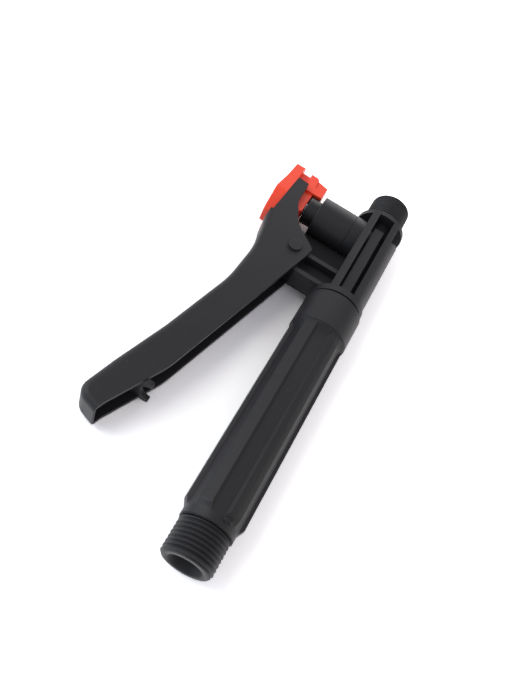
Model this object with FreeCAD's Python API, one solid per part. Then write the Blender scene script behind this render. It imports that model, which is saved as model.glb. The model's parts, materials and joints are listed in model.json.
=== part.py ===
import FreeCAD, Part

import math
import os

# Trigger handle of a knapsack sprayer: a ribbed grip tube with a hose thread at its rear, a valve body
# with a lance thread at its front, and a long lever that lifts the valve stem when it is squeezed.
#
# Frame, in millimetres: the origin is the centre of the hose thread's end face, +X runs forward along
# the barrel to the lance thread, +Y points to the valve bonnet and the lever, and the plane z = 0 cuts
# the valve, the bracket and the lever into like halves. The handle lies on its side, with +Z up.

V = FreeCAD.Vector
AXIS_X, AXIS_Y, AXIS_Z = V(1, 0, 0), V(0, 1, 0), V(0, 0, 1)

# Grip, along X from the hose end
hose_thread_radius = 10.48       # G 1/2 pipe thread, over its crests
hose_thread_length = 15.0
thread_chamfer = 1.0
grip_radius = 12.5               # over the ribs
groove_depth = 1.6
rib_count = 6
rib_top_width = 3.9
rib_foot_width = 6.4
rib_phase = 28.5                 # degrees from +Z towards +Y, to the first rib
rib_ramp_start = hose_thread_length + 3.2     # where the ribs rise at the rear
rib_ramp_end = rib_ramp_start + 3.2
collar_end = 129.1               # the grip's front end
collar_start = collar_end - 17.6
collar_radius = 13.0
groove_end = collar_start - 4.1  # where the groove's floor starts to climb into the collar
groove_end_radius = 6.0
grip_bore_radius = 7.1

# Joint between the grip and the valve body
spigot_radius = 9.5
spigot_length = 20.0
spigot_clearance = 0.05
joint_ring_radius = spigot_radius - 1.6      # inside the ring seal on the spigot's end
joint_ring_width = 2.4

# Strainer inside the grip
strainer_radius = 5.6
strainer_wall = 0.8
strainer_length = 52.0
strainer_flange_radius = spigot_radius - 0.6
strainer_flange_thickness = 1.4
strainer_rings = 2
strainer_slots = 4
strainer_bar_width = 1.3
mesh_thickness = 0.3
water_bore_radius = 5.5

# Valve body
valve_x = collar_end + 43.0      # the valve's axis, along Y
seam_gap = 0.9                   # open line between the grip's collar and the flange
seam_radius = 11.3
flange_radius = 12.4
flange_thickness = 4.1           # with the open line
back_radius = 11.7               # of the half-round back
back_end = valve_x + 5.9         # where the back stops short of the front flange
back_end_radius = 10.6           # its end is round, seen along Y
core_radius = 6.7                # round the water's way
ridge_height = 8.7               # flat-topped ridge along the core, between the long ribs
ridge_bonnet_side = 2.1
ridge_back_side = 2.4
ridge_end = valve_x + 4.5
side_rib_radius = 12.1           # the long ribs stand a little above the back
side_rib_width = 3.3
bonnet_rib_inner = 3.4           # nearer edge of the rib on the bonnet's side of the barrel's middle
back_rib_inner = 4.2             # and of the rib on the far side
front_flange_rear = valve_x + 11.3
front_flange_thickness = 2.4
front_flange_radius = 11.8
lance_thread_radius = 9.4        # over its crests
lance_thread_length = 15.4
overall_length = front_flange_rear + front_flange_thickness + lance_thread_length
lance_bore_radius = 5.6
lance_bore_depth = 14.0
outlet_radius = 3.2
outlet_drop = 2.2                # the outlet runs this far below the barrel's axis

# Valve chamber and bonnet
valve_radius = 9.8
stub_top = 11.8
chamber_radius = 6.5
chamber_wall = 1.2
chamber_floor = 2.0              # the seal shuts on it, round the seat's hole
seat_hole_clearance = 0.8        # round the seal screw's head
bonnet_top = 28.8
bonnet_spigot_radius = 8.2
bonnet_spigot_depth = 6.0
bonnet_ceiling = bonnet_top - 3.1            # inside the bonnet
bonnet_seal_height = 1.2
bonnet_seal_radius = 9.1
boss_radius = 6.45
boss_top = bonnet_top + 5.8
gland_radius = 5.2
gland_bush_height = 2.0
stem_ring_height = 1.9
stem_ring_gap = 0.2
washer_thickness = 1.0

# Valve stem
stem_radius = 3.0
stem_clearance = 0.05
holder_radius = 5.3              # of the flange between the seal and the spring
holder_top = 5.6
seal_radius = 4.9
seal_thickness = 2.5
seal_gap = 0.05                  # between the seal and the seat while the valve is shut
seal_screw_radius = 1.2
seal_screw_head_radius = 2.2
seal_screw_head_height = 1.1
seal_screw_length = 8.0
spring_wire_radius = 0.5
spring_mean_radius = 4.8
spring_turns = 6.0
spring_facets = 12               # flat lengths in one turn
wire_facets = 5                  # flat sides of the wire
spring_end_gap = 0.06            # clear of the washer and the holder

# Bracket and pivot
lever_half_width = 8.0
cheek_thickness = 2.0
lever_side_gap = 0.3             # between the bracket and each cheek
pivot_x = collar_end + 14.0
pivot_y = bonnet_top + 0.1
pivot_pin_radius = 2.0
pivot_clearance = 0.06
pivot_eye_radius = 4.8
bracket_rear = collar_end + flange_thickness - 0.3
bracket_front = pivot_x + 2.5
bracket_shoulder = pivot_y - 5.3
bracket_half_width = lever_half_width - cheek_thickness - lever_side_gap
bracket_wall = 2.2
bracket_web = 2.4
web_gap = 0.15                   # between the bonnet and the web that runs forward to it
pin_head_radius = 3.15
pin_head_height = 1.0
clip_radius = 3.9
clip_thickness = 0.8

# Lever
lever_back = 2.4                 # thickness of the wall along the lever's outer side
lever_edge_round = 3.0
lever_end_wall = 1.2
crown_flat = pivot_y + 18.5      # height of the crown behind the catch
seat_rear_x = valve_x - 16.7     # the fork's top, where the catch rests, starts here
seat_rear = pivot_y + 17.4
seat_front_x = valve_x + 8.2
seat_front = pivot_y + 15.85
head_ceiling = pivot_y + 14.5
fork_start = valve_x - 11.3      # forward of here the fork is open on its outer side
saddle_x = pivot_x - 93.6
saddle_thickness = 2.0
saddle_foot = pivot_y + 15.3     # height of the prongs' tips
saddle_depth = 4.3
saddle_radius = 5.2

# Catch on top of the stem
catch_seat_gap = 0.05
catch_tail_gap = 0.3             # clear of the step in the crown
catch_tail_half = 4.0
catch_tail_top = seat_rear + 4.2
catch_peak_x = valve_x - 3.6
catch_peak = seat_rear + 4.9
catch_front_radius = lever_half_width + 1.5
catch_front_x = valve_x + 9.6    # centre of the catch's rounded front, seen along Y
catch_web_half = lever_half_width - cheek_thickness - 1.5
catch_web_rear = valve_x - 10.6
catch_web_bottom = boss_top + 0.7
catch_leg_half = lever_half_width - cheek_thickness - 0.5
catch_leg_rear = valve_x + 5.9
catch_leg_bottom = bonnet_top + 2.0
catch_leg_top = boss_top + 6.1   # above here the catch is cut back to its neck
catch_neck_half = 3.4
catch_boss_clearance = 0.6
catch_pin_y = boss_top + 7.2
catch_pin_radius = 1.5
catch_pin_clearance = 0.05
squeeze_angle = 19.0             # full travel of the lever, in degrees


def block(x0, x1, y0, y1, z0, z1):
    return Part.makeBox(x1 - x0, y1 - y0, z1 - z0, V(x0, y0, z0))


def rod_x(radius, x0, x1, y=0.0, z=0.0):
    return Part.makeCylinder(radius, x1 - x0, V(x0, y, z), AXIS_X)


def rod_y(radius, y0, y1, x=valve_x, z=0.0):
    return Part.makeCylinder(radius, y1 - y0, V(x, y0, z), AXIS_Y)


def rod_z(radius, z0, z1, x, y):
    return Part.makeCylinder(radius, z1 - z0, V(x, y, z0), AXIS_Z)


def ring_y(inner, outer, y0, y1):
    return rod_y(outer, y0, y1).cut(rod_y(inner, y0 - 1, y1 + 1))


def turned_x(profile):
    """A solid turned about the barrel's axis from (x, radius) points."""
    points = [V(x, r, 0) for x, r in profile]
    face = Part.Face(Part.makePolygon(points + [points[0]]))
    return face.revolve(V(0, 0, 0), AXIS_X, 360)


def turned_y(profile):
    """A solid turned about the valve's axis from (radius, y) points."""
    points = [V(valve_x + r, y, 0) for r, y in profile]
    face = Part.Face(Part.makePolygon(points + [points[0]]))
    return face.revolve(V(valve_x, 0, 0), AXIS_Y, 360)


def rounded_outline(corners):
    """A closed wire in the plane z = 0 from (x, y, corner radius) points."""
    count = len(corners)
    starts, ends, middles = [], [], []
    for i, (x, y, radius) in enumerate(corners):
        here = V(x, y, 0)
        back = (V(corners[i - 1][0], corners[i - 1][1], 0) - here).normalize()
        ahead = corners[(i + 1) % count]
        on = (V(ahead[0], ahead[1], 0) - here).normalize()
        half = math.acos(max(-1.0, min(1.0, back.dot(on)))) / 2
        if radius <= 0 or abs(half - math.pi / 2) < 1e-4:
            starts.append(here)
            ends.append(here)
            middles.append(None)
            continue
        run = radius / math.tan(half)
        inward = (back + on).normalize()
        starts.append(here + back * run)
        ends.append(here + on * run)
        middles.append(here + inward * (radius / math.sin(half) - radius))
    edges = []
    for i in range(count):
        if middles[i] is not None:
            edges.append(Part.Arc(starts[i], middles[i], ends[i]).toShape())
        after = starts[(i + 1) % count]
        if (after - ends[i]).Length > 1e-6:
            edges.append(Part.makeLine(ends[i], after))
    return Part.Wire(edges)


def plate_z(corners, z0, z1):
    """A plate across the handle: a rounded outline in XY, from z0 to z1."""
    face = Part.Face(rounded_outline(corners))
    return face.extrude(V(0, 0, z1 - z0)).translated(V(0, 0, z0))


def rounded(shape, radius, wanted):
    """The shape with a fillet along each edge that the test picks."""
    return shape.makeFillet(radius, [e for e in shape.Edges if wanted(e)])


def groove_cutter():
    """One groove between two ribs, cut at the top of the tube (+Z)."""
    floor = grip_radius - groove_depth
    pitch = 2 * math.pi / rib_count
    half_top = grip_radius * math.sin(pitch / 2) - rib_top_width / 2 * math.cos(pitch / 2)
    half_foot = floor * math.sin(pitch / 2) - rib_foot_width / 2 * math.cos(pitch / 2)
    rise = groove_depth + 3.0
    spread = half_top + (half_top - half_foot) * 3.0 / groove_depth
    x0 = hose_thread_length
    section = Part.makePolygon([
        V(x0, -half_foot, floor), V(x0, half_foot, floor),
        V(x0, spread, floor + rise), V(x0, -spread, floor + rise), V(x0, -half_foot, floor)])
    trough = Part.Face(section).extrude(V(collar_end - x0, 0, 0))
    run_out = block(x0, groove_end, -grip_radius, grip_radius, floor, floor + 2 * groove_end_radius)
    run_out = run_out.fuse(Part.makeCylinder(
        groove_end_radius, 2 * grip_radius, V(groove_end, -grip_radius, floor + groove_end_radius), AXIS_Y))
    return trough.common(run_out)


def grip_tube():
    """Ribbed grip: hose thread, six ribs that ramp up, collar, and a stepped bore for the strainer."""
    floor = grip_radius - groove_depth
    profile = [
        (0, 0), (0, hose_thread_radius - thread_chamfer), (thread_chamfer, hose_thread_radius),
        (hose_thread_length, hose_thread_radius), (hose_thread_length, floor),
        (rib_ramp_start, floor), (rib_ramp_end, grip_radius), (collar_start, grip_radius),
        (collar_start + 0.5, collar_radius), (collar_end, collar_radius), (collar_end, 0)]
    tube = turned_x(profile)
    cutter = groove_cutter()
    step = 360.0 / rib_count
    for i in range(rib_count):
        # turning about X takes +Z towards -Y, so the angle is negative to go towards +Y
        angle = -(rib_phase + (i + 0.5) * step)
        tube = tube.cut(cutter.rotated(V(0, 0, 0), AXIS_X, angle))
    socket = spigot_radius + spigot_clearance
    tube = tube.cut(rod_x(grip_bore_radius, -1, collar_end))
    tube = tube.cut(rod_x(socket, collar_end - spigot_length - strainer_flange_thickness, collar_end + 1))
    return tube


def joint_o_ring():
    """Ring seal on the end of the body's spigot, held by the strainer's flange."""
    x0 = collar_end - spigot_length
    ring = rod_x(spigot_radius + spigot_clearance, x0, x0 + joint_ring_width)
    return ring.cut(rod_x(joint_ring_radius, x0 - 1, x0 + joint_ring_width + 1))


def strainer_cage():
    """Cage that carries the mesh, closed at its rear, with a flange held by the body's spigot."""
    front = collar_end - spigot_length
    flange_rear = front - strainer_flange_thickness
    rear = flange_rear - strainer_length
    inner = strainer_radius - strainer_wall
    cage = rod_x(strainer_radius, rear, front).fuse(rod_x(strainer_flange_radius, flange_rear, front))
    cage = cage.cut(rod_x(inner, rear + strainer_flange_thickness, front + 1))
    pitch = (strainer_length - 3 * strainer_bar_width) / strainer_rings
    width = 2 * math.pi * strainer_radius / strainer_slots - strainer_bar_width
    for ring in range(strainer_rings):
        x0 = rear + 2 * strainer_bar_width + ring * pitch
        slot = block(x0, x0 + pitch - strainer_bar_width, -width / 2, width / 2, 0, strainer_radius + 1)
        slot = slot.cut(rod_x(inner - 1, x0 - 1, x0 + pitch))
        for i in range(strainer_slots):
            cage = cage.cut(slot.rotated(V(0, 0, 0), AXIS_X, i * 360.0 / strainer_slots))
    return cage


def strainer_mesh():
    """Fine mesh sleeve round the cage; its wires are left to the finish."""
    front = collar_end - spigot_length - strainer_flange_thickness
    rear = front - strainer_length + strainer_bar_width
    sleeve = rod_x(strainer_radius + mesh_thickness, rear, front - strainer_bar_width)
    return sleeve.cut(rod_x(strainer_radius, rear - 1, front))


def within_barrel(x0, x1, y0, y1, radius):
    """A length of barrel between two heights y0 and y1."""
    return rod_x(radius, x0, x1).common(block(x0 - 1, x1 + 1, y0, y1, -radius - 1, radius + 1))


def bracket():
    """Bracket that stands up from the body to the pivot: a rim round a thin web."""
    eye_top = pivot_y + pivot_eye_radius
    base = core_radius - 1.7
    outline = [(bracket_rear, base, 0), (bracket_rear, bracket_shoulder, 3.0),
               (pivot_x - 4.6, eye_top - 1.4, 4.0), (pivot_x, eye_top, 4.0),
               (pivot_x + 4.7, pivot_y + 2.2, 4.0), (bracket_front, bracket_shoulder, 3.0),
               (bracket_front, base, 0)]
    solid = plate_z(outline, -bracket_half_width, bracket_half_width)
    recess = [(bracket_rear + bracket_wall, base - 1, 0),
              (bracket_rear + bracket_wall, bracket_shoulder - 0.6, 1.5),
              (pivot_x - 4.0, pivot_y - 2.2, 1.5),
              (bracket_front - bracket_wall, bracket_shoulder - 1.8, 1.0),
              (bracket_front - bracket_wall, base - 1, 0)]
    eye = rod_z(pivot_eye_radius, -bracket_half_width, bracket_half_width, pivot_x, pivot_y)
    for side in (-1, 1):
        z0, z1 = sorted((side * bracket_web / 2, side * (bracket_half_width + 1)))
        solid = solid.cut(plate_z(recess, z0, z1).cut(eye))
    front = valve_x - valve_radius - web_gap
    web = [(pivot_x, base, 0), (pivot_x, boss_top, 0), (front, boss_top, 4.0), (front, base, 0)]
    return solid.fuse(plate_z(web, -bracket_web / 2, bracket_web / 2))


def body_shell():
    """Outside of the valve body: flanges, ribs, half-round back, core, bracket and valve stub."""
    flange_front = collar_end + flange_thickness
    shell = rod_x(spigot_radius, collar_end - spigot_length, collar_end + 1)
    shell = shell.fuse(rod_x(seam_radius, collar_end, flange_front))
    shell = shell.fuse(rod_x(flange_radius, collar_end + seam_gap, flange_front))
    shell = shell.fuse(rod_x(core_radius, flange_front - 1, front_flange_rear + 1))
    shell = shell.fuse(block(flange_front - 1, ridge_end, -ridge_back_side, ridge_bonnet_side,
                             -ridge_height, ridge_height))
    shell = shell.fuse(rod_y(chamber_radius + chamber_wall, 0, bonnet_rib_inner + 1))
    back = within_barrel(flange_front - 1, back_end, -back_radius, -back_rib_inner, back_radius)
    round_end = rod_y(back_end_radius, -back_radius - 1, 0, x=back_end - back_end_radius)
    corners = block(back_end - back_end_radius, back_end + 1, -20, 0, -20, 20).cut(round_end)
    shell = shell.fuse(back.cut(corners))
    for y0 in (-back_rib_inner - side_rib_width, bonnet_rib_inner):
        shell = shell.fuse(within_barrel(
            flange_front - 1, front_flange_rear + 1, y0, y0 + side_rib_width, side_rib_radius))
    shell = shell.fuse(rod_y(valve_radius, bonnet_rib_inner, stub_top))
    shell = shell.fuse(bracket())
    thread_start = front_flange_rear + front_flange_thickness
    shell = shell.fuse(rod_x(front_flange_radius, front_flange_rear, thread_start))
    shell = shell.fuse(turned_x([
        (thread_start - 1, 0), (thread_start - 1, lance_thread_radius),
        (overall_length - thread_chamfer, lance_thread_radius),
        (overall_length, lance_thread_radius - thread_chamfer), (overall_length, 0)]))
    return shell


def valve_body():
    """Valve body with its waterway: in along the barrel, up into the chamber, down through the seat."""
    body = body_shell()
    chamber_rear = valve_x - chamber_radius
    seat_hole = seal_screw_head_radius + seat_hole_clearance
    spigot_end = collar_end - spigot_length
    body = body.cut(rod_x(water_bore_radius, spigot_end - 1, chamber_rear + 1.4))
    body = body.cut(rod_x(spigot_radius + 1, spigot_end - 1, spigot_end + joint_ring_width).cut(
        rod_x(joint_ring_radius, spigot_end - 2, spigot_end + joint_ring_width + 1)))
    body = body.cut(rod_y(chamber_radius, chamber_floor, stub_top + 1))
    body = body.cut(rod_y(bonnet_spigot_radius, stub_top - bonnet_spigot_depth, stub_top + 1))
    body = body.cut(rod_y(bonnet_seal_radius, stub_top - bonnet_seal_height, stub_top + 1))
    body = body.cut(rod_y(seat_hole, -outlet_drop, chamber_floor + 1))
    body = body.cut(rod_x(outlet_radius, valve_x - seat_hole + 0.2, overall_length, y=-outlet_drop))
    body = body.cut(rod_x(lance_bore_radius, overall_length - lance_bore_depth, overall_length + 1))
    body = body.cut(rod_z(pivot_pin_radius, -lever_half_width, lever_half_width, pivot_x, pivot_y))
    return body


def valve_bonnet():
    """Bonnet that closes the chamber, with the gland boss on top."""
    inner = bonnet_ceiling
    gland_top = inner + gland_bush_height + 2 * stem_ring_height + stem_ring_gap
    bore = stem_radius + stem_clearance
    foot = stub_top - bonnet_spigot_depth
    return turned_y([
        (chamber_radius, foot), (bonnet_spigot_radius, foot),
        (bonnet_spigot_radius, stub_top), (valve_radius, stub_top),
        (valve_radius, bonnet_top), (boss_radius, bonnet_top),
        (boss_radius, boss_top), (bore, boss_top), (bore, gland_top),
        (gland_radius, gland_top), (gland_radius, inner), (chamber_radius, inner)])


def bonnet_o_ring():
    """Ring seal between the stub's rim and the bonnet's shoulder."""
    return ring_y(bonnet_spigot_radius, bonnet_seal_radius, stub_top - bonnet_seal_height, stub_top)


def gland_bush():
    """Bush under the stem's ring seals."""
    top = bonnet_ceiling + gland_bush_height
    return ring_y(stem_radius + stem_clearance, gland_radius, bonnet_ceiling, top)


def stem_o_rings():
    """The two ring seals round the stem, as one group."""
    rings = []
    for i in range(2):
        y0 = bonnet_ceiling + gland_bush_height + i * (stem_ring_height + stem_ring_gap)
        rings.append(ring_y(stem_radius + stem_clearance / 2, gland_radius, y0, y0 + stem_ring_height))
    return Part.makeCompound(rings)


def spring_washer():
    """Washer between the spring and the bonnet's ceiling; it holds the bush in."""
    return ring_y(stem_radius + 2 * stem_clearance, chamber_radius - stem_clearance,
                  bonnet_ceiling - washer_thickness, bonnet_ceiling)


def coil(mean_radius, wire_radius, y0, y1, turns):
    """A coil about the valve's axis, closed at both ends, of flat facets."""
    stations = round(turns * spring_facets)
    rings = []
    for i in range(stations + 1):
        turn = 2 * math.pi * turns * i / stations
        y = y0 + (y1 - y0) * i / stations
        ring = []
        for k in range(wire_facets):
            around = 2 * math.pi * k / wire_facets
            radius = mean_radius + wire_radius * math.cos(around)
            ring.append(V(valve_x + radius * math.cos(turn), y + wire_radius * math.sin(around),
                          radius * math.sin(turn)))
        rings.append(ring)
    faces = [facet(rings[0]), facet(rings[-1][::-1])]
    for low, high in zip(rings, rings[1:]):
        for k in range(wire_facets):
            after = (k + 1) % wire_facets
            faces.append(facet([low[k], high[k], high[after]]))
            faces.append(facet([low[k], high[after], low[after]]))
    return Part.makeSolid(Part.makeShell(faces))


def facet(points):
    return Part.Face(Part.makePolygon(points + [points[0]]))


def return_spring():
    """Compression spring between the stem's holder and the washer."""
    y0 = holder_top + spring_wire_radius + spring_end_gap
    y1 = bonnet_ceiling - washer_thickness - spring_wire_radius - spring_end_gap
    return coil(spring_mean_radius, spring_wire_radius, y0, y1, spring_turns)


def valve_stem():
    """Stem: flange between seal and spring, rod through the gland, eye for the catch's pin."""
    seal_low = chamber_floor + seal_gap
    holder_bottom = seal_low + seal_thickness
    stem = rod_y(stem_radius, holder_bottom, catch_pin_y)
    stem = stem.fuse(rod_z(stem_radius, -stem_radius, stem_radius, valve_x, catch_pin_y).common(
        rod_y(stem_radius, catch_pin_y - stem_radius, catch_pin_y + stem_radius)))
    stem = stem.fuse(rod_y(holder_radius, holder_bottom, holder_top))
    stem = stem.cut(rod_y(seal_screw_radius, holder_bottom - 1, seal_low + seal_screw_length))
    eye = catch_pin_radius + catch_pin_clearance
    return stem.cut(rod_z(eye, -stem_radius - 1, stem_radius + 1, valve_x, catch_pin_y))


def seal_disc():
    """Rubber disc that shuts on the seat."""
    low = chamber_floor + seal_gap
    return ring_y(seal_screw_radius, seal_radius, low, low + seal_thickness)


def seal_screw():
    """Screw that holds the disc in the stem."""
    low = chamber_floor + seal_gap
    head = rod_y(seal_screw_head_radius, low - seal_screw_head_height, low)
    return head.fuse(rod_y(seal_screw_radius, low - seal_screw_head_height, low + seal_screw_length))


def from_pivot(corners):
    """Corners given from the pivot, as places in the handle's frame."""
    return [(pivot_x + x, pivot_y + y, radius) for x, y, radius in corners]


lever_crown = from_pivot([
    (-110.9, 38.2, 6.0), (-92.5, 33.2, 60.0), (-67.7, 25.4, 80.0), (-31.5, 16.2, 50.0),
    (-11.1, 15.1, 40.0), (1.4, 17.1, 14.0), (14.9, 20.9, 0)])

lever_lower_edge = from_pivot([
    (36.4, 10.3, 0.5), (23.9, 9.9, 12.0), (12.3, 4.5, 14.0), (3.4, -7.5, 2.2),
    (-2.1, -6.6, 12.0), (-83.9, 14.5, 25.0), (-110.0, 26.3, 12.0), (-114.8, 27.7, 0)])


def saddle():
    """Cross rib near the free end, hollowed to sit over the grip, with a prong at each side."""
    foot = saddle_foot
    half = lever_half_width - 0.5
    x0, x1 = saddle_x - saddle_thickness / 2, saddle_x + saddle_thickness / 2
    rib = block(x0, x1, foot, foot + 14.0, -half, half)
    rib = rounded(rib, 1.2, lambda e: e.BoundBox.YMax < foot + 0.01 and e.BoundBox.XLength > 1)
    return rib.cut(rod_x(saddle_radius, x0 - 1, x1 + 1, y=foot + saddle_depth - saddle_radius))


def along_crown(edge):
    """True for the long edges of the lever's rounded back."""
    box = edge.BoundBox
    middle = box.Center
    upper = middle.y > crown_flat - 5 and middle.y - pivot_y + (middle.x - pivot_x) / 4 > 6.3
    return box.ZLength < 0.01 and abs(middle.z) > 1 and upper and box.XMin < seat_rear_x


def lever():
    """Trigger lever: a channel open towards the grip, with a rounded back and a fork at its head."""
    wide = lever_half_width
    beyond, above, below = valve_x + 18.0, crown_flat + 12.0, pivot_y - 19.0
    outer = plate_z(lever_crown + [(seat_front_x, lever_crown[-1][1], 0)] + lever_lower_edge, -wide, wide)
    outer = rounded(outer, lever_edge_round, along_crown)
    over = [(pivot_x - 18.0, above, 0), (pivot_x - 18.0, crown_flat, 0), (seat_rear_x, crown_flat, 0),
            (seat_rear_x, seat_rear, 0), (seat_front_x, seat_front, 0),
            (beyond, seat_front, 0), (beyond, above, 0)]
    outer = outer.cut(plate_z(over, -wide - 1, wide + 1))
    inside = wide - cheek_thickness
    ceiling = [(x, y - lever_back, max(r - lever_back, 0)) for x, y, r in lever_crown[:-2]]
    top, foot = lever_crown[0], lever_lower_edge[-1]
    lean = (top[0] - foot[0]) / (top[1] - foot[1])
    wall = lever_end_wall * math.hypot(1, lean)
    ceiling[0] = (top[0] - lean * lever_back + wall, ceiling[0][1], ceiling[0][2])
    ceiling.append((lever_crown[-2][0], head_ceiling, 12.0))
    inner = plate_z(ceiling + [(beyond, head_ceiling, 0), (beyond, below, 0),
                               (foot[0] + wall - lean * (foot[1] - below), below, 0)], -inside, inside)
    inner = inner.fuse(block(fork_start, beyond, below, above, -inside, inside))
    solid = outer.cut(inner).fuse(saddle())
    hole = pivot_pin_radius + pivot_clearance
    return solid.cut(rod_z(hole, -wide - 1, wide + 1, pivot_x, pivot_y))


def pivot_pin():
    """Headed pin, pressed in the bracket's eye."""
    top = lever_half_width + 0.1
    end = -lever_half_width - 0.1 - clip_thickness - 0.4
    pin = rod_z(pivot_pin_radius, end, top + 0.2, pivot_x, pivot_y)
    head = rod_z(pin_head_radius, top, top + pin_head_height, pivot_x, pivot_y)
    return pin.fuse(head)


def pin_clip():
    """Push-on clip on the pin's far end."""
    low = -lever_half_width - 0.1 - clip_thickness
    clip = rod_z(clip_radius, low, low + clip_thickness, pivot_x, pivot_y)
    return clip.cut(rod_z(pivot_pin_radius, low - 1, low + 2, pivot_x, pivot_y))


def catch_plate():
    """Top plate of the catch, narrow at its tail, thickest over the stem and round at its front."""
    tail = seat_rear_x + catch_tail_gap
    rear_under = seat_rear + catch_seat_gap
    front_under = seat_front + catch_seat_gap
    side = [(tail, rear_under, 0), (tail, catch_tail_top, 0.5), (catch_peak_x, catch_peak, 5.0),
            (valve_x + 5.3, catch_peak - 1.3, 8.0), (valve_x + 16.5, catch_peak - 2.2, 0.8),
            (valve_x + 19.9, catch_peak - 3.8, 0), (valve_x + 19.9, front_under, 0),
            (seat_front_x, front_under, 0)]
    plate = plate_z(side, -lever_half_width, lever_half_width)
    wide = lever_half_width
    plan = [(tail, -catch_tail_half, 1.0), (tail, catch_tail_half, 1.0), (catch_peak_x, wide, 4.0),
            (catch_front_x, wide, 0), (catch_front_x, -wide, 0), (catch_peak_x, -wide, 4.0)]
    # laid out in XY, then turned so that its second axis runs along Z
    low, high = seat_front - 1, catch_peak + 1
    plan = plate_z(plan, -high, -low).rotated(V(0, 0, 0), AXIS_X, 90)
    return plate.common(plan.fuse(rod_y(catch_front_radius, low, high, x=catch_front_x)))


def catch_leg():
    """Leg in front of the boss, cut back above and hollowed at both lower corners."""
    low = catch_leg_bottom
    leg = [(catch_leg_rear, catch_leg_top, 0), (catch_leg_rear, low, 0.3), (valve_x + 13.9, low, 0.5),
           (valve_x + 15.2, low + 5.7, 0.3), (valve_x + 16.1, low + 6.4, 0.3),
           (valve_x + 16.3, catch_leg_top, 0)]
    leg = plate_z(leg, -catch_leg_half, catch_leg_half)
    leg = leg.cut(rod_y(boss_radius + catch_boss_clearance, low - 1, catch_leg_top + 1))
    for side in (-1, 1):
        z0, z1 = sorted((side * (catch_leg_half - 0.8), side * (catch_leg_half + 1)))
        hollow = rod_z(5.0, z0, z1, valve_x + 12.9, low + 1.0)
        leg = leg.cut(hollow.common(block(valve_x + 7.9, valve_x + 20, low - 5, low + 5.4, z0, z1)))
    neck = [(valve_x + 4.9, catch_leg_top - 1, 0), (valve_x + 15.9, catch_leg_top - 1, 0),
            (valve_x + 16.3, seat_front + 1, 0), (valve_x + 4.9, seat_front + 1, 0)]
    return leg.fuse(plate_z(neck, -catch_neck_half, catch_neck_half))


def lock_catch():
    """Red catch that caps the stem: top plate, web between the cheeks and leg in front of the boss."""
    web = [(catch_web_rear, seat_rear + 0.5, 0), (catch_web_rear + 1.7, catch_web_bottom + 4.2, 2.0),
           (catch_web_rear + 4.7, catch_web_bottom, 0.5),
           (catch_leg_rear + 1.5, catch_web_bottom, 0), (catch_leg_rear + 1.5, seat_rear, 0)]
    catch = catch_plate().fuse(plate_z(web, -catch_web_half, catch_web_half)).fuse(catch_leg())
    slot_half = stem_radius + 0.15
    slot_front = valve_x + stem_radius + 0.4
    lean = math.tan(math.radians(squeeze_angle)) * (catch_pin_y - catch_web_bottom)
    slot = block(valve_x - stem_radius - 0.6 - lean, slot_front, boss_top - 5,
                 catch_pin_y + stem_radius + 0.4, -slot_half, slot_half)
    catch = catch.cut(slot)
    return catch.cut(rod_z(catch_pin_radius, -lever_half_width, lever_half_width, valve_x, catch_pin_y))


def catch_pin():
    """Cross pin through the catch and the stem's eye."""
    return rod_z(catch_pin_radius, -catch_web_half, catch_web_half, valve_x, catch_pin_y)


PARTS = {
    "grip_tube": grip_tube, "joint_o_ring": joint_o_ring, "strainer_cage": strainer_cage,
    "strainer_mesh": strainer_mesh, "valve_body": valve_body, "valve_bonnet": valve_bonnet,
    "bonnet_o_ring": bonnet_o_ring, "gland_bush": gland_bush, "stem_o_rings": stem_o_rings,
    "spring_washer": spring_washer, "return_spring": return_spring, "valve_stem": valve_stem,
    "seal_disc": seal_disc, "seal_screw": seal_screw, "lever": lever, "pivot_pin": pivot_pin,
    "pin_clip": pin_clip, "lock_catch": lock_catch, "catch_pin": catch_pin,
}

os.makedirs("parts", exist_ok=True)
for name, make in PARTS.items():
    shape = make()
    shape.exportStep(os.path.join("parts", name + ".step"))
    print(f"{name:16s} solids {len(shape.Solids)} volume {shape.Volume:9.1f} valid {shape.isValid()}")
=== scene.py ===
"""Looks of the sprayer's trigger handle: finishes, threads, wires, soft edges, lamps and camera."""

import json
import math

import bmesh
import bpy
from mathutils import Matrix, Vector, noise
from mathutils.bvhtree import BVHTree


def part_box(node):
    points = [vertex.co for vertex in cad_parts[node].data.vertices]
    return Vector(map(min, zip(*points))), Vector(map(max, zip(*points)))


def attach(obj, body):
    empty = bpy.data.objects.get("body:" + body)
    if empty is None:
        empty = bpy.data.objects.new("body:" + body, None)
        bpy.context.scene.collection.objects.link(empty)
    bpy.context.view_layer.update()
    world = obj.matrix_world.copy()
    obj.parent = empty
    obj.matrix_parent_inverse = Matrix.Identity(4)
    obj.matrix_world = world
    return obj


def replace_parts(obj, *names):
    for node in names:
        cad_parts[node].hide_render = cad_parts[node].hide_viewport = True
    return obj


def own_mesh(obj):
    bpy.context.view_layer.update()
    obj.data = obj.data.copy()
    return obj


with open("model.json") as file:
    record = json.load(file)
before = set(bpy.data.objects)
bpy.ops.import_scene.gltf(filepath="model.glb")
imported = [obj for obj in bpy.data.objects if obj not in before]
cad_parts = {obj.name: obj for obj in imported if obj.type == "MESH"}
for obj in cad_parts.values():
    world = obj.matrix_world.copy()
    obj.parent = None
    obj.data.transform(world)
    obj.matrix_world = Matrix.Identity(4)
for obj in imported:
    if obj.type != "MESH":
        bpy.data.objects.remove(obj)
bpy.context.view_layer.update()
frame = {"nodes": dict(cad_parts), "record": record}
MM = 0.001


# Reading the frame

def low(node):
    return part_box(node)[0]


def high(node):
    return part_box(node)[1]


def mount_radius(name):
    return [mount["dims"]["r_mm"] for mount in frame["record"]["mounts"] if mount["name"] == name][0] * MM


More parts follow.
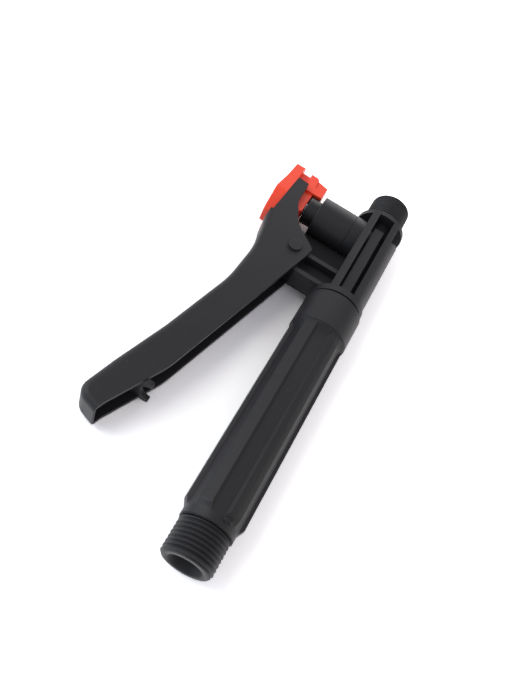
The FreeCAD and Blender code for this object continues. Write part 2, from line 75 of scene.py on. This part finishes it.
BODY_OF = {node: body for body, nodes in frame["record"]["behaviour"]["bodies"].items() for node in nodes}
SLOT_OF = {part["node"]: part["material_slot"] for part in frame["record"]["subparts"]}
HANDLE_LENGTH = high("valve_body").x
COLLAR_RADIUS = high("grip_tube").y


# Node trees: one class for materials and for geometry

class Tree:
    """Adds nodes to a tree. Every node comes from node(), which returns its wrapped output."""

    def __init__(self, tree):
        self.tree = tree

    def node(self, kind, settings=None, values=None, output=0):
        made = self.tree.nodes.new(kind)
        for key, value in (settings or {}).items():
            if key == "stops":
                fill_ramp(made.color_ramp, value)
            else:
                setattr(made, key, value)
        for key, value in (values or {}).items():
            if isinstance(value, Link):
                self.tree.links.new(value.socket, made.inputs[key])
            else:
                made.inputs[key].default_value = value
        return Link(self, made.outputs[output]) if made.outputs else None

    def maths(self, operation, *values):
        return self.node("ShaderNodeMath", {"operation": operation}, dict(enumerate(values)))


def fill_ramp(ramp, stops):
    while len(ramp.elements) < len(stops):
        ramp.elements.new(1.0)
    for element, (place, level) in zip(ramp.elements, stops):
        element.position = place
        element.color = (level, level, level, 1.0)


class Link:
    """An output socket; sums and products of it add Math nodes."""

    def __init__(self, tree, socket):
        self.tree = tree
        self.socket = socket

    def other(self, name):
        """Another output of the same node."""
        return Link(self.tree, self.socket.node.outputs[name])

    def __add__(self, value):
        return self.tree.maths("ADD", self, value)

    def __sub__(self, value):
        return self.tree.maths("SUBTRACT", self, value)

    def __rsub__(self, value):
        return self.tree.maths("SUBTRACT", value, self)

    def __mul__(self, value):
        return self.tree.maths("MULTIPLY", self, value)

    def __truediv__(self, value):
        return self.tree.maths("DIVIDE", self, value)

    def __lt__(self, value):
        return self.tree.maths("LESS_THAN", self, value)

    def __gt__(self, value):
        return self.tree.maths("GREATER_THAN", self, value)

    __radd__ = __add__
    __rmul__ = __mul__


# Finishes

class Finish(Tree):
    """One material, read in the handle's own coordinates."""

    def __init__(self, name):
        self.material = bpy.data.materials.new(name)
        self.material.use_nodes = True
        self.material.node_tree.nodes.clear()
        super().__init__(self.material.node_tree)
        self.place = self.node("ShaderNodeTexCoord", output="Object")

    def noise(self, size, detail=2.0, roughness=0.5, stretch=(1, 1, 1)):
        """Noise with lumps of about this size, in metres."""
        where = self.node("ShaderNodeMapping", values={"Vector": self.place, "Scale": stretch})
        return self.node("ShaderNodeTexNoise", values={
            "Vector": where, "Scale": 1 / size, "Detail": detail, "Roughness": roughness})

    def ramp(self, value, stops):
        return self.node("ShaderNodeValToRGB", {"stops": stops}, {"Fac": value})

    def blend(self, factor, first, second):
        """Colour between first and second."""
        return self.node("ShaderNodeMix", {"data_type": "RGBA"}, {0: factor, 6: first, 7: second}, output=2)

    def bump(self, height, distance, strength):
        return self.node("ShaderNodeBump", values={
            "Height": height, "Distance": distance, "Strength": strength})

    def surface(self, **values):
        sockets = {key.replace("_", " "): value for key, value in values.items()}
        shader = self.node("ShaderNodeBsdfPrincipled", values=sockets)
        self.node("ShaderNodeOutputMaterial", values={"Surface": shader})
        return self.material


def colour(red, green, blue):
    return (red, green, blue, 1.0)


def black_plastic():
    """Moulded black plastic: a satin skin with a fine grain, faint cloudiness and a little dust."""
    finish = Finish("black_plastic")
    cloud = finish.noise(14 * MM, detail=3)
    handled = finish.noise(3.0 * MM, detail=4, roughness=0.6)
    grain = finish.noise(0.30 * MM, detail=2)
    dust = finish.ramp(finish.noise(0.7 * MM, detail=1), [(0.75, 0.0), (0.78, 1.0)])
    base = finish.blend(cloud, colour(0.0165, 0.0160, 0.0182), colour(0.0215, 0.0210, 0.0235))
    base = finish.blend(dust * 0.25, base, colour(0.16, 0.155, 0.145))
    dull = 0.40 + cloud * 0.08 + handled * 0.10
    relief = grain + handled * 0.5
    return finish.surface(Base_Color=base, Roughness=dull, Specular_IOR_Level=0.29,
                          Normal=finish.bump(relief, 0.02 * MM, 0.35))


def red_plastic():
    """Moulded red plastic, smoother than the black."""
    finish = Finish("red_plastic")
    cloud = finish.noise(6 * MM, detail=3)
    grain = finish.noise(0.35 * MM, detail=2)
    base = finish.blend(cloud, colour(0.90, 0.062, 0.026), colour(0.96, 0.078, 0.034))
    return finish.surface(Base_Color=base, Roughness=0.34 + cloud * 0.08, Specular_IOR_Level=0.36,
                          Normal=finish.bump(grain, 0.015 * MM, 0.3))


def white_plastic():
    """Natural acetal."""
    finish = Finish("white_plastic")
    cloud = finish.noise(4 * MM)
    base = finish.blend(cloud, colour(0.74, 0.73, 0.69), colour(0.82, 0.81, 0.78))
    return finish.surface(Base_Color=base, Roughness=0.42)


def seal_rubber():
    """Black nitrile rubber."""
    finish = Finish("seal_rubber")
    cloud = finish.noise(1.5 * MM)
    base = finish.blend(cloud, colour(0.012, 0.012, 0.012), colour(0.022, 0.022, 0.022))
    return finish.surface(Base_Color=base, Roughness=0.62 + cloud * 0.1)


def drawn_steel(name, tone):
    """Drawn steel, brushed along its length by the die."""
    finish = Finish(name)
    drawn = finish.noise(0.5 * MM, detail=3, stretch=(1, 1, 4))
    base = finish.blend(drawn, colour(tone * 0.86, tone * 0.86, tone * 0.87), colour(tone, tone, tone))
    return finish.surface(Base_Color=base, Metallic=1.0, Roughness=0.24 + drawn * 0.12)


def stem_steel():
    """Turned stainless steel: fine rings round the stem."""
    finish = Finish("stem_steel")
    turned = finish.noise(0.25 * MM, detail=2, stretch=(0.05, 1, 0.05))
    base = finish.blend(turned, colour(0.36, 0.36, 0.37), colour(0.46, 0.46, 0.47))
    return finish.surface(Base_Color=base, Metallic=1.0, Roughness=0.22 + turned * 0.14)


FINISHES = {
    "black_plastic": black_plastic(),
    "red_plastic": red_plastic(),
    "white_plastic": white_plastic(),
    "seal_rubber": seal_rubber(),
    "spring_steel": drawn_steel("spring_steel", 0.60),
    "steel_mesh": drawn_steel("steel_mesh", 0.50),
    "stem_steel": stem_steel()}


# Making pieces

WELD_REACH = 0.001 * MM
FLAT_ANGLE = math.radians(0.5)       # faces that meet at less than this are one flat face
CUT_REACH = 0.0005 * MM
SHARP_ANGLE = math.radians(30)       # edges sharper than this are rounded
ROUNDING_STEPS = 2


def new_piece(name, mesh, node):
    """An object at the origin that takes its body and its finish from a CAD node."""
    piece = bpy.data.objects.new(name, mesh)
    bpy.context.scene.collection.objects.link(piece)
    mesh.materials.clear()
    mesh.materials.append(FINISHES[SLOT_OF[node]])
    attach(piece, BODY_OF[node])
    return piece


def welded(node):
    """A closed copy of a CAD node's mesh with its flat faces whole."""
    shape = bmesh.new()
    shape.from_mesh(frame["nodes"][node].data)
    bmesh.ops.remove_doubles(shape, verts=shape.verts, dist=WELD_REACH)
    bmesh.ops.dissolve_limit(shape, angle_limit=FLAT_ANGLE, verts=shape.verts, edges=shape.edges)
    return shape


def keep_side(shape, point, direction):
    """Cuts the shape by a plane, keeps the side against the direction and closes the cut."""
    everything = shape.verts[:] + shape.edges[:] + shape.faces[:]
    cut = bmesh.ops.bisect_plane(shape, geom=everything, plane_co=point, plane_no=direction,
                                 clear_outer=True, dist=CUT_REACH)
    rim = [part for part in cut["geom_cut"] if isinstance(part, bmesh.types.BMEdge)]
    bmesh.ops.holes_fill(shape, edges=rim)


def to_mesh(shape, name):
    mesh = bpy.data.meshes.new(name)
    shape.to_mesh(mesh)
    shape.free()
    return mesh


def facing_out(mesh):
    """The mesh with all its faces turned outwards."""
    shape = bmesh.new()
    shape.from_mesh(mesh)
    bmesh.ops.recalc_face_normals(shape, faces=shape.faces)
    shape.to_mesh(mesh)
    shape.free()
    return mesh


def evaluated_mesh(thing):
    """What an object's modifiers make of it, as a plain mesh."""
    bpy.context.view_layer.update()
    ready = thing.evaluated_get(bpy.context.evaluated_depsgraph_get())
    return bpy.data.meshes.new_from_object(ready)


def soften(piece, width):
    """Rounds a piece's sharp edges and shades its flats flat."""
    for face in piece.data.polygons:
        face.use_smooth = True
    bevel = piece.modifiers.new("round_edges", "BEVEL")
    bevel.width = width
    bevel.segments = ROUNDING_STEPS
    bevel.limit_method = "ANGLE"
    bevel.angle_limit = SHARP_ANGLE
    bevel.miter_outer = "MITER_ARC"
    bevel.use_clamp_overlap = True
    normals = piece.modifiers.new("flat_faces", "WEIGHTED_NORMAL")
    normals.keep_sharp = True


# Meshes from geometry nodes

def start_group(name, sizes):
    """A geometry node group with one named input for each size: its tree, the links of its inputs,
    and the sizes by their inputs' identifiers."""
    group = bpy.data.node_groups.new(name, "GeometryNodeTree")
    group.interface.new_socket("Geometry", in_out="OUTPUT", socket_type="NodeSocketGeometry")
    values = {}
    for key, value in sizes.items():
        socket = group.interface.new_socket(key, in_out="INPUT", socket_type="NodeSocketFloat")
        values[socket.identifier] = value
    tree = Tree(group)
    inlet = tree.node("NodeGroupInput")
    return tree, {key: inlet.other(key) for key in sizes}, values


def mesh_from(tree, shape, values, node):
    """Ends a group with this shape in its node's finish, and gives what it makes as a plain mesh."""
    smooth = tree.node("GeometryNodeSetShadeSmooth", values={0: shape})
    whole = tree.node("GeometryNodeRealizeInstances", values={0: smooth})
    dressed = tree.node("GeometryNodeSetMaterial", values={
        "Geometry": whole, "Material": FINISHES[SLOT_OF[node]]})
    tree.node("NodeGroupOutput", values={0: dressed})
    carrier = bpy.data.objects.new(node, bpy.data.meshes.new(node))
    bpy.context.scene.collection.objects.link(carrier)
    maker = carrier.modifiers.new("maker", "NODES")
    maker.node_group = tree.tree
    for key, value in values.items():
        maker[key] = value
    mesh = evaluated_mesh(carrier)
    bpy.data.objects.remove(carrier)
    return mesh


def wire(tree, curve, radius, sides):
    """Round wire along a curve, closed at its ends."""
    section = tree.node("GeometryNodeCurvePrimitiveCircle", values={"Resolution": sides, "Radius": radius})
    return tree.node("GeometryNodeCurveToMesh", values={
        "Curve": curve, "Profile Curve": section, "Fill Caps": True})


# Threads

ROWS_PER_TURN = 14
COLUMNS_ROUND = 96
BORE_ROWS = 3                # two along the bore and one that closes the ring at its start
BLUNTNESS = 0.94             # 1 would leave the crests and roots of the thread sharp
CREST_GAIN = 1.25            # unworn, the ridge would be this many times as deep
CREST_BLEND = 0.15
RUN_OUT_TURNS = 0.5          # from its end, where the ridge begins to sink into a plain neck
RUN_OUT_SLOPE = 3.2          # share of the ridge that sinks in a turn
THREAD_WELD = 0.002 * MM
HALF_TURN = Matrix.Rotation(math.pi, 4, "Z")

HOSE_THREAD = {
    "Crest": mount_radius("hose_thread"), "Depth": 1.05 * MM, "Pitch": 1.814 * MM, "Length": 15.0 * MM,
    "Bore": 7.1 * MM, "Chamfer": 1.0 * MM}
LANCE_THREAD_START = 185.8 * MM
LANCE_THREAD = {
    "Crest": mount_radius("lance_thread"), "Depth": 0.8 * MM, "Pitch": 1.5 * MM,
    "Length": HANDLE_LENGTH - LANCE_THREAD_START, "Bore": mount_radius("lance_bore"), "Chamfer": 1.0 * MM}
THREAD_OVERLAP = 0.3 * MM    # the solid behind a thread reaches this far under its plain neck


def thread_radius(tree, size, along, turn):
    """The thread's outer radius: a blunt ridge along the helix, with a chamfer at its free end and a
    plain neck at the other."""
    phase = along / size["Pitch"] - turn
    swing = tree.maths("COSINE", phase * (2 * math.pi)) * BLUNTNESS
    ridge = tree.maths("ARCCOSINE", swing) / math.pi
    worn = tree.maths("SMOOTH_MIN", ridge * CREST_GAIN, 1.0, CREST_BLEND)
    threaded = size["Crest"] - size["Depth"] * (1 - worn)
    chamfered = size["Crest"] - size["Chamfer"] + along
    neck = size["Crest"] - size["Depth"]
    turns_left = (size["Length"] - along) / size["Pitch"]
    eased = tree.node("ShaderNodeClamp", values={
        "Value": RUN_OUT_TURNS * RUN_OUT_SLOPE - turns_left * RUN_OUT_SLOPE, "Min": 0.0, "Max": 1.0})
    return tree.maths("MINIMUM", threaded * (1 - eased) + neck * eased, chamfered)


def thread_mesh(node, start, forward, sizes):
    """A tube with a helical thread outside; forward is False where its free end faces -X. The group
    bends a flat grid into it: its columns go round, and its rows run along the bore to the free end,
    across it, back along the thread and across to the bore again."""
    tree, size, values = start_group("thread", sizes)
    outer_rows = round(sizes["Length"] / sizes["Pitch"] * ROWS_PER_TURN)
    rows = outer_rows + BORE_ROWS
    grid = tree.node("GeometryNodeMeshGrid", values={
        "Size X": float(rows - 1), "Size Y": float(COLUMNS_ROUND),
        "Vertices X": rows, "Vertices Y": COLUMNS_ROUND + 1})
    flat = tree.node("ShaderNodeSeparateXYZ", values={0: tree.node("GeometryNodeInputPosition")})
    row = flat + (rows - 1) / 2
    turn = flat.other("Y") / COLUMNS_ROUND + 0.5
    outside = (row > 1.5) * (row < rows - 1.5)
    at_root = (row > rows - 1.5) + (row < 0.5)
    along = (row - 2) / (outer_rows - 1) * size["Length"] * outside + at_root * size["Length"]
    radius = thread_radius(tree, size, along, turn) * outside + size["Bore"] * (1 - outside)
    angle = turn * (2 * math.pi)
    ring = tree.node("ShaderNodeCombineXYZ", values={
        0: along, 1: radius * tree.maths("COSINE", angle), 2: radius * tree.maths("SINE", angle)})
    bent = tree.node("GeometryNodeSetPosition", values={"Geometry": grid, "Position": ring})
    closed = tree.node("GeometryNodeMergeByDistance", values={"Geometry": bent, "Distance": THREAD_WELD})
    mesh = mesh_from(tree, closed, values, node)
    if forward:
        mesh.transform(HALF_TURN)
    mesh.transform(Matrix.Translation((start, 0, 0)))
    return facing_out(mesh)


# The grip: its thread cut off and made again as a helix, and the marks of its mould

SEAM_OPENING = 0.4 * MM      # taken off the collar, because the photographed seam is wider than the CAD's
RIB_START = 21.4 * MM
RIB_END = 111.0 * MM                 # where the ribs run into the collar
RIB_RADIUS = 12.5 * MM
PARTING_ANGLES = [math.radians(-31.5), math.radians(148.5)]      # from +Z towards +Y
PARTING_SECTION = [(-0.28, -0.06), (0.28, -0.06), (0.10, 0.09), (-0.10, 0.09)]       # in mm
GATE_ANGLE = math.radians(-27.0)
GATE_PLACE = Vector((18.4, 0.0, 11.0)) * MM
GATE_HALF_SIZES = [1.2 * MM, 1.9 * MM, 0.8 * MM]
GATE_TEARS = [(2.6, 0.6), (6.0, 0.45)]       # how close together the lumps are, and how deep


def make_grip():
    shape = welded("grip_tube")
    keep_side(shape, (HOSE_THREAD["Length"] - THREAD_OVERLAP, 0, 0), (-1, 0, 0))
    keep_side(shape, (high("grip_tube").x - SEAM_OPENING, 0, 0), (1, 0, 0))
    grip = new_piece("grip", to_mesh(shape, "grip"), "grip_tube")
    soften(grip, width=0.20 * MM)
    new_piece("hose_thread", thread_mesh("grip_tube", 0.0, False, HOSE_THREAD), "grip_tube")
    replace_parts(grip, "grip_tube")


def turned_about_barrel(shape, angle):
    """Turns a shape that stands above the barrel's axis, from +Z towards +Y."""
    bmesh.ops.rotate(shape, verts=shape.verts, matrix=Matrix.Rotation(-angle, 3, "X"))
    return shape


def make_parting_lines():
    """The fine line that the mould's halves left along the middle of two ribs."""
    for angle in PARTING_ANGLES:
        shape = bmesh.new()
        ends = []
        for x in (RIB_START, RIB_END):
            ends.append([shape.verts.new((x, y * MM, RIB_RADIUS + z * MM)) for y, z in PARTING_SECTION])
        for i in range(len(PARTING_SECTION)):
            after = (i + 1) % len(PARTING_SECTION)
            shape.faces.new([ends[0][i], ends[0][after], ends[1][after], ends[1][i]])
        shape.faces.new(ends[0])
        shape.faces.new(ends[1])
        mesh = to_mesh(turned_about_barrel(shape, angle), "parting_line")
        new_piece("parting_line", facing_out(mesh), "grip_tube")


def make_gate_mark():
    """The torn stub where the plastic was let in, at the foot of a rib."""
    shape = bmesh.new()
    bmesh.ops.create_icosphere(shape, subdivisions=4, radius=1.0)
    for vertex in shape.verts:
        rough = sum(noise.noise(vertex.co * closeness) * depth for closeness, depth in GATE_TEARS)
        vertex.co = vertex.co * (1.0 + rough)
        for axis in range(3):
            vertex.co[axis] *= GATE_HALF_SIZES[axis]
    bmesh.ops.translate(shape, verts=shape.verts, vec=GATE_PLACE)
    for face in shape.faces:
        face.smooth = True
    mesh = to_mesh(turned_about_barrel(shape, GATE_ANGLE), "gate_mark")
    new_piece("gate_mark", facing_out(mesh), "grip_tube")


# The valve body: its thread made again, its middle web cut out, and a black plate on the far side as
# painted shade

BONNET_REAR = low("valve_bonnet").x - 0.05 * MM
BRACKET_TOP_FRONT = 142.9 * MM       # at the bracket's top, where the probe feels no edge
WEB_FOOT = 6.71 * MM
WEB_TOP = 34.8 * MM
WEB_STEPS = 40
PROBE_HEIGHT = 4.0 * MM              # beside the web and inside the bracket's width
PROBE_REACH = 25 * MM
CUTTER_HALF = 1.5 * MM               # wider than the web's half thickness of 1.2 mm
CUTTER_SLACK = 0.01 * MM
# The far plate is painted shade: black plastic put where the gap in front of the bracket shows only shade.
SHADE_PLATE_BOTTOM = -5.6 * MM
SHADE_PLATE_CEILING = -4.2 * MM
SHADE_PLATE_SINK = 0.6 * MM              # into the bracket
SHADE_PLATE_REACH = 0.85 * MM            # on to the bonnet's side, which curves away below its middle


def bracket_front(solid, height):
    """Where the bracket's front edge is at this height, felt beside the web with a probe along -X."""
    origin = Vector((BONNET_REAR, height, PROBE_HEIGHT))
    found = solid.ray_cast(origin, Vector((-1, 0, 0)), PROBE_REACH)[0]
    return found.x if found else BRACKET_TOP_FRONT


def web_edge(mesh):
    """The web's rear edge, along the bracket, seen along Z."""
    shape = bmesh.new()
    shape.from_mesh(mesh)
    solid = BVHTree.FromBMesh(shape)
    shape.free()
    heights = [WEB_FOOT + (WEB_TOP - WEB_FOOT) * i / WEB_STEPS for i in range(WEB_STEPS + 1)]
    return [(bracket_front(solid, height), height) for height in heights]


def web_plate(name, edge, shift, front, z0, z1):
    """A plate between the bracket's edge, shifted along X, and a straight front edge."""
    outline = [(x + shift, y) for x, y in edge] + [(front, WEB_TOP), (front, WEB_FOOT)]
    shape = bmesh.new()
    foot = shape.faces.new([shape.verts.new((x, y, z0)) for x, y in outline])
    moved = bmesh.ops.extrude_face_region(shape, geom=[foot])["geom"]
    raised = [part for part in moved if isinstance(part, bmesh.types.BMVert)]
    bmesh.ops.translate(shape, verts=raised, vec=(0, 0, z1 - z0))
    return facing_out(to_mesh(shape, name))


def less(mesh, cutter_mesh):
    """A mesh with another one cut out of it."""
    whole = bpy.data.objects.new("whole", mesh)
    cutter = bpy.data.objects.new("cutter", cutter_mesh)
    for thing in (whole, cutter):
        bpy.context.scene.collection.objects.link(thing)
    cut = whole.modifiers.new("cut", "BOOLEAN")
    cut.operation = "DIFFERENCE"
    cut.solver = "EXACT"
    cut.object = cutter
    left = evaluated_mesh(whole)
    for thing in (whole, cutter):
        bpy.data.objects.remove(thing)
    return left


def make_shade_plate(edge):
    """A black plate low on the far side, in front of the bracket. It is painted shade: it stands in for the
    deep shade seen through the gap there. The CAD model has a web in the middle instead."""
    mesh = web_plate("far_shade_plate", edge, -SHADE_PLATE_SINK, BONNET_REAR + SHADE_PLATE_REACH, SHADE_PLATE_BOTTOM,
                     SHADE_PLATE_CEILING)
    soften(new_piece("far_shade_plate", mesh, "valve_body"), width=0.10 * MM)


def make_valve_body():
    shape = welded("valve_body")
    keep_side(shape, (LANCE_THREAD_START + THREAD_OVERLAP, 0, 0), (1, 0, 0))
    whole = to_mesh(shape, "valve_housing")
    edge = web_edge(whole)
    cutter = web_plate("cutter", edge, CUTTER_SLACK, BONNET_REAR + CUTTER_SLACK, -CUTTER_HALF, CUTTER_HALF)
    body = new_piece("valve_housing", less(whole, cutter), "valve_body")
    make_shade_plate(edge)
    soften(body, width=0.22 * MM)
    new_piece("lance_thread", thread_mesh("valve_body", HANDLE_LENGTH, True, LANCE_THREAD), "valve_body")
    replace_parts(body, "valve_body")


# The other pieces: copies of the CAD's solids with their edges rounded, by this many mm

SOFT_EDGES = {
    "lever": 0.35, "lock_catch": 0.6, "valve_bonnet": 0.30, "pivot_pin": 0.30, "pin_clip": 0.1,
    "gland_bush": 0.1, "spring_washer": 0.1, "valve_stem": 0.12, "seal_disc": 0.12, "seal_screw": 0.1,
    "catch_pin": 0.12, "strainer_cage": 0.12, "joint_o_ring": 0.5, "bonnet_o_ring": 0.2,
    "stem_o_rings": 0.6}


def make_soft_copies():
    for node, width in SOFT_EDGES.items():
        piece = new_piece(node + "_finished", to_mesh(welded(node), node), node)
        soften(piece, width * MM)
        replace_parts(piece, node)


# The strainer's woven sleeve

SLEEVE_WIRE = 0.075 * MM             # the wire's radius
SLEEVE_PITCH = 1.2 * MM
SLEEVE_STRANDS = 36
STRAND_INSET = 1.6                   # in wire radii: the straight wires lie inside the hoops
HOOP_STEPS = 48
SLEEVE_WIRE_SIDES = 5
QUARTER_TURN = (0, math.pi / 2, 0)            # about Y


def sleeve_hoops(tree, size):
    """A row of hoops along X, one pitch apart."""
    step = tree.node("ShaderNodeCombineXYZ", values={0: size["Pitch"]})
    places = tree.node("GeometryNodeMeshLine", values={
        "Count": size["Length"] / size["Pitch"] + 1, "Offset": step})
    hoop = tree.node("GeometryNodeCurvePrimitiveCircle", values={
        "Resolution": HOOP_STEPS, "Radius": size["Radius"]})
    return tree.node("GeometryNodeInstanceOnPoints", values={
        "Points": places, "Instance": hoop, "Rotation": QUARTER_TURN})


def sleeve_strands(tree, size):
    """Straight wires along X, in a ring inside the hoops."""
    inner = size["Radius"] - size["Wire"] * STRAND_INSET
    circle = tree.node("GeometryNodeMeshCircle", values={"Vertices": SLEEVE_STRANDS, "Radius": inner})
    upright = tree.node("GeometryNodeTransform", values={"Geometry": circle, "Rotation": QUARTER_TURN})
    far_end = tree.node("ShaderNodeCombineXYZ", values={0: size["Length"]})
    strand = tree.node("GeometryNodeCurvePrimitiveLine", values={"Start": (0, 0, 0), "End": far_end})
    return tree.node("GeometryNodeInstanceOnPoints", values={"Points": upright, "Instance": strand})


def make_strainer_mesh():
    """Woven sleeve round the cage: hoops on the outside of straight wires."""
    node = "strainer_mesh"
    rear, front = low(node).x + SLEEVE_WIRE, high(node).x - SLEEVE_WIRE
    tree, size, values = start_group(node, {
        "Radius": high(node).y - SLEEVE_WIRE, "Length": front - rear, "Pitch": SLEEVE_PITCH,
        "Wire": SLEEVE_WIRE})
    both = tree.node("GeometryNodeJoinGeometry", values={0: sleeve_hoops(tree, size)})
    tree.tree.links.new(sleeve_strands(tree, size).socket, both.socket.node.inputs[0])
    curves = tree.node("GeometryNodeRealizeInstances", values={0: both})
    mesh = mesh_from(tree, wire(tree, curves, size["Wire"], SLEEVE_WIRE_SIDES), values, node)
    mesh.transform(Matrix.Translation((rear, 0, 0)))
    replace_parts(new_piece("strainer_wires", facing_out(mesh), node), node)


# The return spring

SPRING_WIRE = 0.46 * MM              # the wire's radius
SPRING_TURNS = 6.0
STEPS_PER_TURN = 48
SPRING_WIRE_SIDES = 12
Z_TO_Y = Matrix.Rotation(-math.pi / 2, 4, "X")


def make_spring():
    node = "return_spring"
    radius = SPRING_WIRE
    bottom, top = low(node).y, high(node).y
    tree, size, values = start_group(node, {
        "Radius": high(node).z - radius, "Height": top - bottom - 2 * radius, "Turns": SPRING_TURNS,
        "Wire": radius})
    coil = tree.node("GeometryNodeCurveSpiral", values={
        "Resolution": STEPS_PER_TURN, "Rotations": size["Turns"], "Start Radius": size["Radius"],
        "End Radius": size["Radius"], "Height": size["Height"]})
    mesh = mesh_from(tree, wire(tree, coil, size["Wire"], SPRING_WIRE_SIDES), values, node)
    middle = (low(node).x + high(node).x) / 2
    mesh.transform(Matrix.Translation((middle, bottom + radius, 0)) @ Z_TO_Y)
    piece = new_piece("spring_wire", facing_out(mesh), node)
    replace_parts(piece, node)
    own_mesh(piece)


# Floor, lamps and camera

LEAN = math.radians(4.55)            # the handle lies on its collar and on the lever's end
FLOOR_HALF = 3.0                     # in metres
PAPER = colour(0.92, 0.92, 0.92)
PAPER_SEEN = colour(1.85, 1.85, 1.85)        # by the camera and in gloss, so that the ground is white


def make_floor():
    corners = [(-FLOOR_HALF, -FLOOR_HALF, 0), (FLOOR_HALF, -FLOOR_HALF, 0),
               (FLOOR_HALF, FLOOR_HALF, 0), (-FLOOR_HALF, FLOOR_HALF, 0)]
    mesh = bpy.data.meshes.new("floor")
    mesh.from_pydata(corners, [], [(0, 1, 2, 3)])
    drop = COLLAR_RADIUS / math.cos(LEAN)
    mesh.transform(Matrix.Translation((0, 0, -drop)) @ Matrix.Rotation(LEAN, 4, "X"))
    floor = bpy.data.objects.new("floor", mesh)
    bpy.context.scene.collection.objects.link(floor)
    finish = Finish("floor")
    rays = finish.node("ShaderNodeLightPath", output="Is Camera Ray")
    seen = rays + rays.other("Is Glossy Ray") + rays.other("Is Transmission Ray")
    matt = finish.node("ShaderNodeBsdfDiffuse", values={"Color": finish.blend(seen, PAPER, PAPER_SEEN)})
    finish.node("ShaderNodeOutputMaterial", values={"Surface": matt})
    mesh.materials.append(finish.material)


LAMPS = [        # name, place, size, power, tint: a bright room with a window towards -X
    ("key", (0.1, 0.73, 0.84), 0.8, 5.4, (1.0, 0.98, 0.92)),
    ("front", (1.15, 0.02, 0.34), 0.8, 4.4, (1.0, 1.0, 1.0)),
    ("bench", (0.1, -0.95, 0.45), 0.8, 2.1, (1.0, 0.93, 0.80)),
    ("side", (0.1, 1.07, 0.34), 0.8, 2.6, (0.80, 0.92, 1.0)),
    ("window", (-0.46, 0.98, 0.58), 0.6, 2.2, (0.50, 0.75, 1.0)),
    ("lamp_behind", (-1.05, -0.10, 0.25), 0.6, 1.0, (0.85, 0.92, 1.0))]
LAMP_TARGET = (0.1, 0.02, 0.0)
ROOM = colour(0.42, 0.41, 0.44)


def make_lamp(name, place, size, power, tint):
    """A soft square lamp that faces the handle."""
    data = bpy.data.lights.new(name, "AREA")
    data.size = size
    data.energy = power
    data.color = tint
    lamp = bpy.data.objects.new(name, data)
    lamp.location = place
    lamp.rotation_euler = (Vector(LAMP_TARGET) - Vector(place)).to_track_quat("-Z", "Y").to_euler()
    bpy.context.scene.collection.objects.link(lamp)


def make_lights():
    for lamp in LAMPS:
        make_lamp(*lamp)
    world = bpy.data.worlds.new("room")
    world.use_nodes = True
    background = world.node_tree.nodes["Background"]
    background.inputs["Color"].default_value = ROOM
    background.inputs["Strength"].default_value = 1.0
    bpy.context.scene.world = world


CAMERA_PLACE = Vector((-77.5, 11.5, 263.9)) * MM
IMAGE_RIGHT = Vector((0.4451, -0.8523, 0.2699))
IMAGE_DOWN = Vector((-0.7121, -0.5201, -0.4694))
FOCAL_PIXELS = 761.4
IMAGE_HEIGHT = 700           # in pixels
SENSOR = 36.0                # in mm, as Blender's lenses are


def make_camera():
    """The photograph's camera, worked out from the barrel's ends, its axis and the valve's axis."""
    ahead = IMAGE_RIGHT.cross(IMAGE_DOWN)
    turn = Matrix((IMAGE_RIGHT, -IMAGE_DOWN, -ahead)).transposed().to_4x4()
    data = bpy.data.cameras.new("camera")
    data.sensor_fit = "VERTICAL"
    data.sensor_width = SENSOR
    data.sensor_height = SENSOR
    data.lens = FOCAL_PIXELS / IMAGE_HEIGHT * SENSOR
    data.clip_start = 5 * MM
    camera = bpy.data.objects.new("camera", data)
    camera.matrix_world = Matrix.Translation(CAMERA_PLACE) @ turn
    bpy.context.scene.collection.objects.link(camera)
    bpy.context.scene.camera = camera


make_grip()
make_parting_lines()
make_gate_mark()
make_valve_body()
make_soft_copies()
make_strainer_mesh()
make_spring()
make_floor()
make_lights()
make_camera()
bpy.context.scene.view_settings.view_transform = "Standard"
